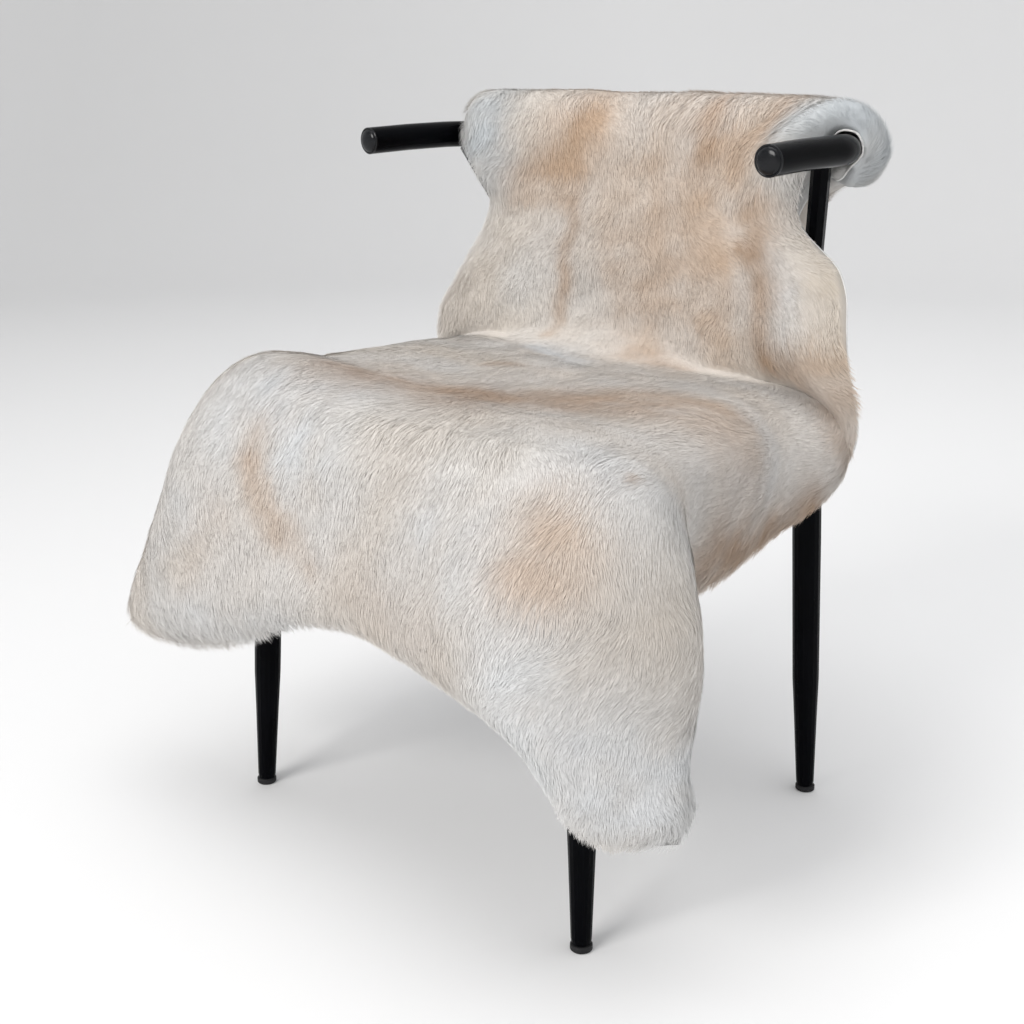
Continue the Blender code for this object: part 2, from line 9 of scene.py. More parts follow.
import bpy
import numpy as np
from mathutils import Euler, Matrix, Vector


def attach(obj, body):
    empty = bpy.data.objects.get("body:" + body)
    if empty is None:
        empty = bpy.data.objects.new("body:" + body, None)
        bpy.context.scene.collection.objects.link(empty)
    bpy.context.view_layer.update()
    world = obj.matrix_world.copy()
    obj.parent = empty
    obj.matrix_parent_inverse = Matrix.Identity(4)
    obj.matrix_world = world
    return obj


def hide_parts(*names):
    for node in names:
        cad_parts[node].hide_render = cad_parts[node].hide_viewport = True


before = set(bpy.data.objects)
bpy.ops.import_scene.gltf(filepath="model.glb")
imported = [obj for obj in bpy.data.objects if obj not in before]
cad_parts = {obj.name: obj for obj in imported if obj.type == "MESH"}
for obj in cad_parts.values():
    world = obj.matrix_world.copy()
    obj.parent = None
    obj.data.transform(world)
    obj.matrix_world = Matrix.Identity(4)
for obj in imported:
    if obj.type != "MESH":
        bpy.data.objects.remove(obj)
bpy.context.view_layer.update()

MM = 0.001
CENTRE = np.array([-9.4, -37.3, 0.0])
GAP = 0.3

# The chair's frame
SEAT_TOP = 458.0
SEAT_THICK = 30.0
SEAT_FRONT_Y = -230.0
SEAT_REAR_Y = 262.0
SEAT_FRONT_HALF = 250.0
SEAT_REAR_HALF = 225.0
SEAT_CORNER_R = 45.0
SEAT_EDGE_R = 12.0

HORN_R = 15.0
HORN_Z = 731.0
HORN_TIP = (275.0, -5.0, 727.0)
HORN_ARM_X = 270.0
HORN_BEND_Y = 107.0
HORN_BEND_R = 80.0
HORN_RAIL_BOW = 6.0
HORN_ARM_MIDDLE = (272.0, 50.0, 729.6)
# An arm cap, turned: radius and height above the tube's end
CAP_DOME = ((HORN_R, 0.0), (HORN_R, 0.9), (14.4, 1.4), (13.4, 1.4), (13.0, 1.1), (12.7, 1.5),
            (12.0, 2.4), (10.4, 3.4), (8.2, 4.2), (5.6, 4.7), (2.8, 4.95), (0.4, 5.0))

STRUT_R = 10.0
STRUT_TOP = (247.4, 125.0, 720.0)
STRUT_FOOT = (159.6, 249.0)
STRUT_FOOT_RISE = 5.2

# The skin
PILE = 42.0
LEFT_EDGE_LOFT = 10.0
EDGE_CLEAR = 2.0

# A row for each section across the skin above the seat, from its hem behind the rail
# down to the seat's rear. Columns: name, the leather's middle y and z, then x, y and z
# of its left rim and of its right rim.
BACK_ROWS = (
    ("rear hem", 218, 575, -165, 219, 604, 140, 220, 600),
    ("rear low", 217, 615, -205, 216, 632, 160, 217, 628),
    ("rear middle", 215, 665, -228, 206, 672, 168, 209, 660),
    ("rear high", 214, 709, -250, 186, 712, 204, 200, 700),
    ("rail back", 213, 733, -260, 172, 735, 226, 182, 703),
    ("rail top", 194, 752, -256, 156, 750, 247, 160, 697),
    ("rail brow", 180, 747, -247, 142, 746, 268, 159, 729),
    ("rail front", 174, 731, -236, 128, 734, 265, 149, 750),
    ("fur roll", 170, 712, -221, 120, 714, 242, 143, 741),
    ("under roll", 167, 688, -205, 124, 688, 206, 150, 694),
    ("waist", 164, 650, -190, 136, 650, 213, 142, 654),
    ("upper back", 162, 605, -222, 136, 603, 264, 130, 608),
    ("middle back", 162, 556, -262, 134, 550, 277, 122, 556),
    ("lower back", 158, 512, -286, 128, 505, 301, 118, 512),
)

# The flap over the rail's right corner. Columns: the section's name, then x, y and z of
# the point between its shoulder and its rim.
FLAP_ROWS = (
    ("rear high", 222, 197, 716),
    ("rail back", 238, 194, 734),
    ("rail top", 258, 177, 739),
    ("rail brow", 262, 160, 748),
    ("rail front", 250, 153, 750),
)

# Sections across the seat. Columns: name, y, height of the middle, of the left rim and
# of the right rim.
SEAT_ROWS = (
    ("seat back", 70, 458, 380, 366),
    ("seat middle", 5, 458, 356, 350),
    ("seat fore", -65, 458, 348, 340),
    ("seat front", -130, 458, 342, 334),
)

# Sections given point by point: the turn from back to seat, and from the seat's front
# down over its edge to the two leg lobes. Columns: name, the middle's y and z, then
# x, y and z of the left shoulder, fold and rim and of the right shoulder, fold and rim.
BEND_ROWS = (
    ("seat rear", 122, 470, (-232, 124, 470), (-272, 128, 460), (-278, 132, 418),
     (236, 138, 474), (291, 142, 466), (297, 148, 420)),
)
FRONT_ROWS = (
    ("corner", -186, 460, (-244, -182, 478), (-272, -180, 446), (-280, -158, 345),
     (246, -182, 456), (290, -174, 422), (286, -138, 332)),
    ("brink", -226, 455, (-246, -220, 472), (-278, -212, 420), (-290, -192, 326),
     (254, -222, 450), (312, -202, 410), (308, -172, 326)),
    ("front top", -243, 430, (-254, -248, 440), (-293, -236, 374), (-308, -222, 298),
     (272, -250, 428), (326, -208, 368), (326, -190, 286)),
    ("front upper", -250, 385, (-258, -266, 386), (-310, -260, 322), (-332, -250, 262),
     (264, -286, 390), (326, -216, 324), (330, -198, 254)),
    ("front middle", -254, 340, (-244, -276, 326), (-316, -278, 272), (-356, -268, 230),
     (252, -296, 346), (322, -224, 268), (338, -202, 222)),
    ("front lower", -255, 304, (-222, -282, 264), (-310, -288, 228), (-368, -277, 208),
     (250, -294, 296), (312, -242, 206), (352, -206, 192)),
    ("front hem", -254, 282, (-196, -284, 222), (-300, -291, 198), (-364, -286, 196),
     (250, -288, 256), (294, -262, 168), (350, -216, 168)),
)
HALFWAY_DROP = 0.2
SIDE_OUT = 18.0
SIDE_RIM_OUT = 14.0
SIDE_BEND = 30.0

# Steps between one section and the next, and between stations across
STEP = 19.0
ACROSS_STEPS = (3, 3, 4, 5, 5, 4, 3, 3)

# Troughs pressed into the fur. Columns: name, the section and station numbers where it
# starts and where it ends, its width and its depth. The hem behind the rail is section 0
# and the left rim is station 0.
CREASES = (
    ("right back fold", 7.5, 6.1, 13.6, 5.6, 22, 14),
    ("under the fur roll", 9.6, 0.6, 8.6, 3.0, 20, 16),
    ("left back fold", 10.5, 2.6, 13.6, 3.4, 26, 9),
    ("seat hollow", 17.2, 1.6, 17.5, 5.4, 44, 6),
    ("left lobe fold", 19.5, 2.0, 24.0, 2.6, 26, 12),
    ("rear corner", 2.5, 8.0, 2.5, 7.6, 24, 12),
    ("right flank crease", 14.5, 7.15, 20.0, 7.3, 18, 16),
)


def mirrored(point, side):
    return (point[0] * side, point[1], point[2])


def through(points, knots, samples):
    """Smooth curve through rows of points; the knots set its pace, and it overshoots little."""
    points = np.asarray(points, float)
    knots = np.asarray(knots, float)
    gaps = np.diff(knots)
    shape = (-1,) + (1,) * (points.ndim - 1)
    slopes = np.diff(points, axis=0) / gaps.reshape(shape)
    tangents = np.empty_like(points)
    tangents[0] = slopes[0]
    tangents[-1] = slopes[-1]
    before = gaps[:-1].reshape(shape)
    after = gaps[1:].reshape(shape)
    tangents[1:-1] = (slopes[:-1] * after + slopes[1:] * before) / (before + after)
    index = np.clip(np.searchsorted(knots, samples, side="right") - 1, 0, len(gaps) - 1)
    width = gaps[index]
    u = ((samples - knots[index]) / width).reshape(shape)
    width = width.reshape(shape)
    start, end = points[index], points[index + 1]
    go, come = tangents[index] * width, tangents[index + 1] * width
    return (
        start * (2 * u**3 - 3 * u**2 + 1)
        + go * (u**3 - 2 * u**2 + u)
        + end * (3 * u**2 - 2 * u**3)
        + come * (u**3 - u**2)
    )


def horn_line(bend_steps=8, rail_steps=8):
    """Centre line of the tube that makes both arms and the back rail, left tip to right tip."""
    centre_x = HORN_ARM_X - HORN_BEND_R
    half = [HORN_TIP, HORN_ARM_MIDDLE, (HORN_ARM_X, HORN_BEND_Y, HORN_Z)]
    for k in range(1, bend_steps + 1):
        angle = 0.5 * math.pi * k / bend_steps
        x = centre_x + HORN_BEND_R * math.cos(angle)
        half.append((x, HORN_BEND_Y + HORN_BEND_R * math.sin(angle), HORN_Z))
    rail_y = HORN_BEND_Y + HORN_BEND_R
    rail = []
    for k in range(1, rail_steps):
        x = centre_x * (1 - 2 * k / rail_steps)
        rail.append((x, rail_y + HORN_RAIL_BOW * (1 - (x / centre_x) ** 2), HORN_Z))
    right = [np.array(p) for p in half]
    left = [np.array((-p[0], p[1], p[2])) for p in reversed(half)]
    return np.array(right + [np.array(p) for p in rail] + left)


def strut_line(side):
    foot = (STRUT_FOOT[0], STRUT_FOOT[1], SEAT_TOP + GAP + STRUT_FOOT_RISE)
    return np.array([mirrored(STRUT_TOP, side), mirrored(foot, side)], float)


def back_section(row, flap):
    """Nine stations across a section above the seat, from the left rim to the right rim."""
    _, mid_y, mid_z, *rims = row
    mid = np.array((0.0, mid_y, mid_z))
    left, right = np.array(rims[:3], float), np.array(rims[3:], float)

    def station(rim, reach, bow):
        return mid + (rim - mid) * np.array((reach, bow, bow))

    stations = [station(left, reach, reach**2) for reach in (1.0, 0.86, 0.66, 0.34)] + [mid]
    if flap is None:
        return stations + [station(right, reach, reach**2) for reach in (0.34, 0.66, 0.86, 1.0)]
    fold = np.array(flap, float)
    return stations + [station(fold, 0.38, 0.08), station(fold, 0.76, 0.42), fold, right]


def seat_section(row):
    _, y, mid_z, left_z, right_z = row
    along = (y - SEAT_FRONT_Y) / (SEAT_REAR_Y - SEAT_FRONT_Y)
    half = SEAT_FRONT_HALF + (SEAT_REAR_HALF - SEAT_FRONT_HALF) * along
    return [
        (-half - SIDE_RIM_OUT, y, left_z),
        (-half - SIDE_OUT, y, SEAT_TOP - SIDE_BEND),
        (-half + 8.0, y, SEAT_TOP),
        (-0.5 * half, y, mid_z),
        (0.0, y, mid_z),
        (0.5 * half, y, mid_z),
        (half - 8.0, y, SEAT_TOP),
        (half + SIDE_OUT, y, SEAT_TOP - SIDE_BEND),
        (half + SIDE_RIM_OUT, y, right_z),
    ]


def point_section(row):
    _, mid_y, mid_z, *points = row
    mid = np.array((0.0, mid_y, mid_z))
    left_shoulder, left_fold, left_rim = np.array(points[:3], float)
    right_shoulder, right_fold, right_rim = np.array(points[3:], float)
    halfway = np.array((0.5, 0.5, HALFWAY_DROP))
    left_in = mid + (left_shoulder - mid) * halfway
    right_in = mid + (right_shoulder - mid) * halfway
    return [left_rim, left_fold, left_shoulder, left_in, mid,
            right_in, right_shoulder, right_fold, right_rim]


def skin_sections():
    flaps = {row[0]: row[1:] for row in FLAP_ROWS}
    sections = [back_section(row, flaps.get(row[0])) for row in BACK_ROWS]
    sections += [point_section(row) for row in BEND_ROWS]
    sections += [seat_section(row) for row in SEAT_ROWS]
    sections += [point_section(row) for row in FRONT_ROWS]
    return np.array(sections, float)


def sampled(knots, steps):
    parts = [np.linspace(a, b, n, endpoint=False) for a, b, n in zip(knots[:-1], knots[1:], steps)]
    return np.concatenate(parts + [[knots[-1]]])


def leather_grid():
    """Points of the leather's underside, with each point's section and station number."""
    sections = skin_sections()
    middle = sections[:, 4]
    pace = np.maximum(np.linalg.norm(np.diff(middle, axis=0), axis=1), 9.0)
    knots = np.concatenate([[0.0], np.cumsum(pace)])
    steps = np.maximum(1, np.round(pace / STEP)).astype(int)
    steps[(pace < 27.0)] = 2
    down = sampled(knots, steps)
    rows = through(sections, knots, down)
    stations = np.arange(9.0)
    across = sampled(stations, ACROSS_STEPS)
    grid = through(rows.transpose(1, 0, 2), stations, across).transpose(1, 0, 2)
    row_numbers = np.interp(down, knots, np.arange(len(knots)))
    return grid, row_numbers, across


def relax(grid, rounds=2, amount=0.5):
    """Each inner point moves towards the middle of its neighbours; rims move along themselves."""
    for _ in range(rounds):
        moved = grid.copy()
        near = grid[:-2, 1:-1] + grid[2:, 1:-1] + grid[1:-1, :-2] + grid[1:-1, 2:]
        moved[1:-1, 1:-1] += amount * (near / 4 - grid[1:-1, 1:-1])
        for edge in ((slice(1, -1), 0), (slice(1, -1), -1)):
            ends = grid[:-2, edge[1]] + grid[2:, edge[1]]
            moved[edge] += amount * (ends / 2 - grid[edge])
        for edge in ((0, slice(1, -1)), (-1, slice(1, -1))):
            ends = grid[edge[0], :-2] + grid[edge[0], 2:]
            moved[edge] += amount * (ends / 2 - grid[edge])
        grid = moved
    return grid


def off_line(points, line, clear):
    """Pushes points out to a distance from a bent centre line."""
    flat = points.reshape(-1, 3)
    best = np.full(len(flat), 1.0e9)
    nearest = np.zeros_like(flat)
    for a, b in zip(line[:-1], line[1:]):
        span = b - a
        along = np.clip(((flat - a) @ span) / (span @ span), 0.0, 1.0)
        foot = a + along[:, None] * span
        gap = np.linalg.norm(flat - foot, axis=1)
        closer = gap < best
        best[closer] = gap[closer]
        nearest[closer] = foot[closer]
    inside = best < clear
    away = flat - nearest
    away /= np.maximum(np.linalg.norm(away, axis=1), 1.0e-6)[:, None]
    flat[inside] = nearest[inside] + away[inside] * clear
    return flat.reshape(points.shape)


def seat_distance(points):
    """Distance from the seat's rounded slab, negative inside."""
    x, y, z = points[..., 0], points[..., 1], points[..., 2]
    straight = SEAT_REAR_Y - SEAT_FRONT_Y - 2 * SEAT_CORNER_R
    along = (y - SEAT_FRONT_Y - SEAT_CORNER_R) / straight
    half = SEAT_FRONT_HALF + (SEAT_REAR_HALF - SEAT_FRONT_HALF) * np.clip(along, 0, 1)
    mid_y = 0.5 * (SEAT_FRONT_Y + SEAT_REAR_Y)
    dx = np.abs(x) - (half - SEAT_CORNER_R)
    dy = np.abs(y - mid_y) - (0.5 * (SEAT_REAR_Y - SEAT_FRONT_Y) - SEAT_CORNER_R)
    plan = np.hypot(np.maximum(dx, 0), np.maximum(dy, 0)) + np.minimum(np.maximum(dx, dy), 0)
    plan = plan - SEAT_CORNER_R + SEAT_EDGE_R
    rise = np.abs(z - SEAT_TOP + 0.5 * SEAT_THICK) - 0.5 * SEAT_THICK + SEAT_EDGE_R
    outside = np.hypot(np.maximum(plan, 0), np.maximum(rise, 0))
    return outside + np.minimum(np.maximum(plan, rise), 0) - SEAT_EDGE_R


def off_seat(points, clear):
    """Moves points off the seat: a hair above its top, and further off past its edges."""
    for _ in range(3):
        gap = seat_distance(points)
        slope = []
        for axis in np.eye(3):
            slope.append((seat_distance(points + axis) - seat_distance(points - axis)) / 2)
        slope = np.stack(slope, -1)
        wanted = GAP + (clear - GAP) * (1 - np.clip(slope[..., 2], 0, 1))
        points = points + slope * np.maximum(wanted - gap, 0)[..., None]
    return points


def surface_normals(grid):
    down = np.gradient(grid, axis=0)
    across = np.gradient(grid, axis=1)
    normals = np.cross(across, down)
    normals /= np.linalg.norm(normals, axis=-1)[..., None]
    return -normals


def segment_trough(rows, stations, crease, grid):
    """How far each point lies inside one trough, 0 to 1."""
    _, row_a, station_a, row_b, station_b, width, _ = crease
    count = 40
    t = np.linspace(0, 1, count)
    line_rows = row_a + (row_b - row_a) * t
    line_stations = station_a + (station_b - station_a) * t
    spine = []
    for r, s in zip(line_rows, line_stations):
        i = int(np.argmin(np.abs(rows - r)))
        j = int(np.argmin(np.abs(stations - s)))
        spine.append(grid[i, j])
    spine = np.array(spine)
    gap = np.linalg.norm(grid[:, :, None, :] - spine[None, None], axis=-1).min(-1)
    return np.exp(-((gap / width) ** 2))


def pile_height(grid, rows, stations):
    """Depth of the fur over the leather: thin at the tucked flank, lumpy, pressed at creases."""
    row = rows[:, None]
    station = stations[None, :]
    height = np.full(grid.shape[:2], PILE)
    flank = np.clip((station - 7.2) / 0.5, 0, 1) * np.clip((row - 13.6) / 1.2, 0, 1)
    flank = flank * np.clip((20.2 - row) / 1.5, 0, 1)
    height = height - 26.0 * flank
    x, y, z = grid[..., 0], grid[..., 1], grid[..., 2]
    waves = (
        np.sin(x / 31.0 + y / 47.0 + z / 53.0)
        + np.sin(x / 23.0 - y / 29.0 - z / 37.0 + 1.7)
        + np.sin(y / 19.0 + z / 26.0 + 0.6)
    )
    height = height + 1.3 * waves
    left_edge = np.exp(-(((station - 2.0) / 0.9) ** 2)) * np.exp(-(((row - 17.5) / 2.6) ** 2))
    height = height + LEFT_EDGE_LOFT * left_edge
    for crease in CREASES:
        height = height - crease[-1] * segment_trough(rows, stations, crease, grid)
    return np.maximum(height, 9.0)


def cell_normals(points):
    """Unit normals of the squares between neighbouring points."""
    rise = points[1:, 1:] - points[:-1, :-1]
    fall = points[1:, :-1] - points[:-1, 1:]
    normals = np.cross(rise, fall)
    return normals / np.maximum(np.linalg.norm(normals, axis=-1), 1.0e-9)[..., None]


def crowded(grid, tips):
    """Marks the places where neighbouring tips come close together or change their order."""
    marks = np.zeros(grid.shape[:2], bool)
    for down, across in ((1, 0), (0, 1), (1, 1), (1, -1)):
        first = (slice(0, -1) if down else slice(None),
                 slice(max(0, -across), -across if across > 0 else None))
        after = (slice(1, None) if down else slice(None),
                 slice(max(0, across), across if across < 0 else None))
        base = grid[after] - grid[first]
        step = tips[after] - tips[first]
        bad = (base * step).sum(-1) < 0.35 * (base * base).sum(-1)
        marks[first] |= bad
        marks[after] |= bad
    under, over = cell_normals(grid), cell_normals(tips)
    turned = (under * over).sum(-1) < 0.35
    for rows, columns in ((0, 0), (0, 1), (1, 0), (1, 1)):
        marks[rows:rows + turned.shape[0], columns:columns + turned.shape[1]] |= turned
    return marks


def pressed(grid, normals, height):
    """Presses the pile where the leather bends inward, then eases what is still crowded."""
    for _ in range(30):
        marks = crowded(grid, grid + normals * height[..., None])
        height = np.where(marks, height * 0.94, height)
    push = normals * height[..., None]
    for _ in range(120):
        marks = crowded(grid, grid + push)
        if not marks.any():
            break
        wide = marks.copy()
        wide[1:] |= marks[:-1]
        wide[:-1] |= marks[1:]
        wide[:, 1:] |= marks[:, :-1]
        wide[:, :-1] |= marks[:, 1:]
        framed = np.pad(push, ((1, 1), (1, 1), (0, 0)), mode="edge")
        near = framed[:-2, 1:-1] + framed[2:, 1:-1] + framed[1:-1, :-2] + framed[1:-1, 2:]
        push = np.where(wide[..., None], 0.5 * push + 0.125 * near, push)
    return push


def clear_of_chair(points, clear, seat_clear):
    points = off_line(points, horn_line(), HORN_R + clear)
    for side in (1, -1):
        points = off_line(points, strut_line(side), STRUT_R + clear)
    return off_seat(points, seat_clear)


# Wool
FINE = 3
HIDE_THICK = 2.0
BED_SHARE = 0.84
RIM_REACH = 11.0
STRANDS = 420000
PIECES = 5
STATIONS = 8.0
# Sections where the flap has ended and where it starts to end
FLAP_END = (9.0, 7.6)
STRAND_SEED = 11
STRAND_LENGTH = (9.0, 17.0)
STRAND_HALF_WIDTH = (0.20, 0.36)
STRAND_BEND_AT = 0.45
ROOT_DEPTH = 0.3
STROKE_WIDTH = 1.3
PUSH_ROUNDS = 9
NORMAL_ROUNDS = 6
CHAIR_CLEAR = 1.0
BED_LIFT = 0.3
RIM_CROWD = 1.8
# The underpile is painted a touch darker than the strands: painted shade beneath them
BED_SHADE = 0.95
SMOOTH_STEPS = 30
# Share of a bare edge's reach on the rim's line and the next ones in
BARE_FADE = (1.0, 0.72, 0.42, 0.18)
# Share of the bed's height on the first lines in from a rim
BED_RIM = (0.35, 0.62, 0.78, 0.88, 0.94, 0.98)

# Where the hide shows past the wool. Columns: name, side, first, widest and last section,
# and how far in mm
BARE_EDGES = (
    ("right of the back", -1, 9.9, 10.9, 13.4, 22.0),
    ("left of the back", 0, 8.8, 9.5, 10.6, 8.0),
)

# Markings, each a stroke over the skin: the wool's own tan, cream and white patches, with
# painted shade in folds, hollows and under the rolls and painted highlights on a few ridges.
# Columns: name, the section and station numbers of its two ends, its width in mm, its colour
# and its strength
MARKINGS = (
    ("back middle", 9.0, 4.6, 12.5, 4.4, 50, "tan", 0.55),
    ("back right of middle", 8.0, 5.5, 12.5, 5.5, 26, "tan", 0.60),
    ("back top spot", 6.5, 5.0, 8.0, 5.2, 14, "deep_tan_and_shade", 0.55),
    ("rail right tan", 7.0, 6.0, 8.5, 6.0, 16, "tan", 0.75),
    ("back left column", 10.0, 2.8, 13.3, 3.0, 9, "deep_tan_and_shade", 0.45),
    ("left roll patch", 7.0, 3.2, 8.0, 2.5, 24, "tan", 0.75),
    ("left roll shade", 9.0, 1.0, 8.5, 3.0, 14, "deep_tan_and_shade", 0.50),
    # painted shade in the fold under the left roll
    ("left roll fold shade", 9.5, 1.0, 9.5, 2.8, 8, "deep_tan_and_shade", 0.40),
    # painted cool shade on the left roll's end
    ("left roll end", 6.5, 1.0, 8.5, 0.7, 24, "cool_shade", 0.90),
    ("left bolster", 10.5, 1.0, 12.5, 2.2, 28, "cream", 0.35),
    ("left bolster pale", 11.3, 2.0, 12.0, 2.2, 18, "white", 0.30),
    ("back oval mark", 10.5, 6.0, 10.5, 6.7, 7, "deep_tan_and_shade", 0.70),
    ("right seam top", 9.5, 7.0, 11.0, 6.6, 20, "deep_tan_and_shade", 0.70),
    ("right seam low", 11.0, 6.6, 12.7, 6.2, 15, "deep_tan_and_shade", 0.60),
    ("right bolster", 10.8, 7.1, 11.7, 7.0, 17, "white", 0.60),
    ("right bolster edge", 10.2, 8.0, 12.4, 8.0, 9, "cream", 0.80),
    ("right bolster foot", 12.5, 7.7, 13.0, 8.0, 17, "tan", 0.55),
    ("rear corner mottle", 12.8, 6.5, 14.0, 7.2, 22, "deep_tan_and_shade", 0.50),
    ("back foot spot", 13.7, 4.2, 14.0, 4.8, 16, "deep_tan_and_shade", 0.40),
    # white wool with a painted highlight at the seat's rear
    ("back foot white wool and highlight", 14.3, 3.2, 15.0, 4.0, 15, "white", 0.95),
    ("seat rear marks", 16.2, 3.4, 16.0, 3.6, 8, "deep_tan_and_shade", 0.40),
    # painted shade along the seat's hollow behind its front crest
    ("seat hollow shade left", 18.8, 2.8, 18.1, 4.2, 34, "deep_tan_and_shade", 0.65),
    ("seat hollow shade middle", 18.1, 4.2, 16.8, 5.2, 36, "deep_tan_and_shade", 0.62),
    ("seat hollow shade right", 16.8, 5.2, 16.6, 6.2, 36, "tan", 0.60),
    ("flank tan", 16.2, 6.0, 16.2, 6.7, 18, "tan", 0.55),
    ("flank pale", 17.3, 6.7, 14.7, 7.3, 22, "white", 0.35),
    ("seat middle pale", 16.8, 2.2, 15.7, 3.4, 22, "cream", 0.30),
    ("front left white", 20.5, 2.5, 20.5, 3.8, 44, "white", 0.80),
    ("front tuft cream", 20.0, 4.0, 20.0, 5.5, 30, "cream", 0.35),
    ("front middle white", 21.5, 5.0, 22.0, 5.8, 44, "white", 0.55),
    ("front right white", 20.0, 5.8, 20.0, 6.3, 32, "white", 0.80),
    # white wool with a painted highlight along the front right corner's ridge
    ("fold top white wool and highlight", 20.0, 6.3, 19.5, 7.0, 20, "white", 0.60),
    # painted shade in the fold valley of the left lobe
    ("left lobe crease shade", 21.0, 2.8, 22.5, 3.2, 13, "tan", 0.60),
    ("left lobe patch", 22.5, 2.5, 23.5, 2.0, 18, "tan", 0.15),
    ("left lobe hem", 24.0, 1.3, 25.0, 2.8, 26, "white", 0.50),
    ("left lobe side", 22.5, 2.0, 23.0, 1.3, 20, "white", 0.45),
    ("middle brown", 22.5, 3.4, 23.0, 3.6, 14, "tan", 0.35),
    ("middle low", 23.5, 4.2, 23.5, 5.2, 26, "tan", 0.15),
    ("right lobe tan", 21.0, 5.8, 21.5, 6.0, 26, "tan", 0.55),
    ("right lobe low tan", 22.0, 5.8, 22.0, 6.0, 18, "tan", 0.35),
    ("right lobe side", 20.5, 6.7, 21.5, 7.0, 34, "cream", 0.30),
    ("right lobe hem", 24.0, 6.7, 23.5, 8.0, 42, "white", 0.95),
    ("right lobe hem left", 23.5, 6.0, 24.0, 6.3, 30, "white", 0.75),
    # painted shade in the small fold at the right lobe's top
    ("right lobe fold shade", 19.5, 6.3, 19.5, 6.3, 4, "deep_tan_and_shade", 0.50),
    # painted cool shade on the flap's top and outer face
    ("flap top", 7.5, 7.0, 6.5, 7.7, 26, "cool_shade", 0.90),
    ("flap outer", 6.5, 7.7, 4.5, 8.0, 30, "cool_shade", 0.90),
    # painted shade on the flank's tucked lower part, under its bulge
    ("shade under the flank", 17.0, 7.7, 14.6, 8.0, 22, "deep_tan_and_shade", 0.70),
    ("hem behind", 2.0, 3.0, 1.0, 5.2, 44, "tan", 0.55),
    ("hem behind low", 0.5, 3.6, 0.5, 4.6, 22, "deep_tan_and_shade", 0.35),
    ("behind left", 3.5, 1.6, 2.0, 2.0, 34, "cream", 0.45),
    ("behind right", 3.5, 5.8, 2.0, 6.4, 30, "tan", 0.35),
    ("left flank", 15.5, 1.0, 17.5, 0.8, 26, "cream", 0.45),
    ("left flank tan", 18.5, 1.4, 19.5, 1.2, 18, "tan", 0.40),
)

COLOURS = {
    "ivory": (0.665, 0.615, 0.56),
    "cream": (0.64, 0.575, 0.495),
    "white": (0.69, 0.70, 0.705),
    "tan": (0.545, 0.40, 0.285),
    # deep_tan_and_shade: the wool's deep tan in its spots, and painted shade where strokes lie in
    # folds, hollows and under the left roll
    "deep_tan_and_shade": (0.44, 0.29, 0.18),
    # cool_shade is painted shade: the bluish grey of cool light on the rolls' ends and the flap
    "cool_shade": (0.50, 0.53, 0.55),
}


def unit(v):
    return v / np.maximum(np.linalg.norm(v, axis=-1, keepdims=True), 1e-9)


def ramp(values, start, end):
    """0 up to start, 1 from end on, smooth between."""
    t = np.clip((values - start) / (end - start), 0, 1)
    return t * t * (3 - 2 * t)


def on_flap(rows, stations, sections, across):
    """0 to 1 on to the flap over the rail's right corner, between two sections and stations."""
    down = ramp(rows, *sections) * ramp(-rows, -FLAP_END[0], -FLAP_END[1])
    return down[:, None] * ramp(stations, *across)


def place(points):
    """Table points in millimetres as positions in metres in the model's frame."""
    return (np.asarray(points, float) - CENTRE) * MM


def finer(grid, times):
    """The same surface with each square cut into smaller ones, along smooth curves."""
    rows, columns = grid.shape[:2]
    down = np.linspace(0, rows - 1, (rows - 1) * times + 1)
    across = np.linspace(0, columns - 1, (columns - 1) * times + 1)
    half = through(grid, np.arange(float(rows)), down)
    return through(half.swapaxes(0, 1), np.arange(float(columns)), across).swapaxes(0, 1)


def smooth_noise(points, scale, seed):
    """Soft seeded bumps between about -1 and 1 from a few crossed waves."""
    rng = np.random.default_rng(seed)
    total = np.zeros(points.shape[:-1])
    for _ in range(9):
        way = rng.normal(size=3)
        way /= np.linalg.norm(way)
        pitch = scale * rng.uniform(0.6, 1.5)
        total += np.sin(points @ way * (2 * math.pi / pitch) + rng.uniform(0, 2 * math.pi))
    return total / 3.0


def calmed(values, rounds):
    """Evens a grid of values out over its neighbours, a little each round."""
    for _ in range(rounds):
        framed = np.pad(values, ((1, 1), (1, 1), (0, 0)), mode="edge")
        near = framed[:-2, 1:-1] + framed[2:, 1:-1] + framed[1:-1, :-2] + framed[1:-1, 2:]
        values = 0.5 * values + 0.125 * near
    return values


def closed_sheet(name, under, over):
    """A closed mesh between two grids of the same shape."""
    rows, columns = under.shape[:2]
    size = rows * columns
    points = np.concatenate([under.reshape(-1, 3), over.reshape(-1, 3)])
    a = (np.arange(rows - 1)[:, None] * columns + np.arange(columns - 1)[None, :]).ravel()
    bottom = np.stack([a, a + 1, a + columns + 1, a + columns], 1)
    top = np.stack([a + columns, a + columns + 1, a + 1, a], 1) + size
    loop = [j for j in range(columns)]
    loop += [i * columns + columns - 1 for i in range(1, rows)]
    loop += [(rows - 1) * columns + j for j in range(columns - 2, -1, -1)]
    loop += [i * columns for i in range(rows - 2, 0, -1)]
    loop = np.array(loop)
    after = np.roll(loop, -1)
    sides = np.stack([after, loop, loop + size, after + size], 1)
    faces = np.concatenate([bottom, top, sides])
    data = bpy.data.meshes.new(name)
    data.from_pydata(place(points).tolist(), [], faces.tolist())
    data.shade_smooth()
    made = bpy.data.objects.new(name, data)
    bpy.context.scene.collection.objects.link(made)
    return made


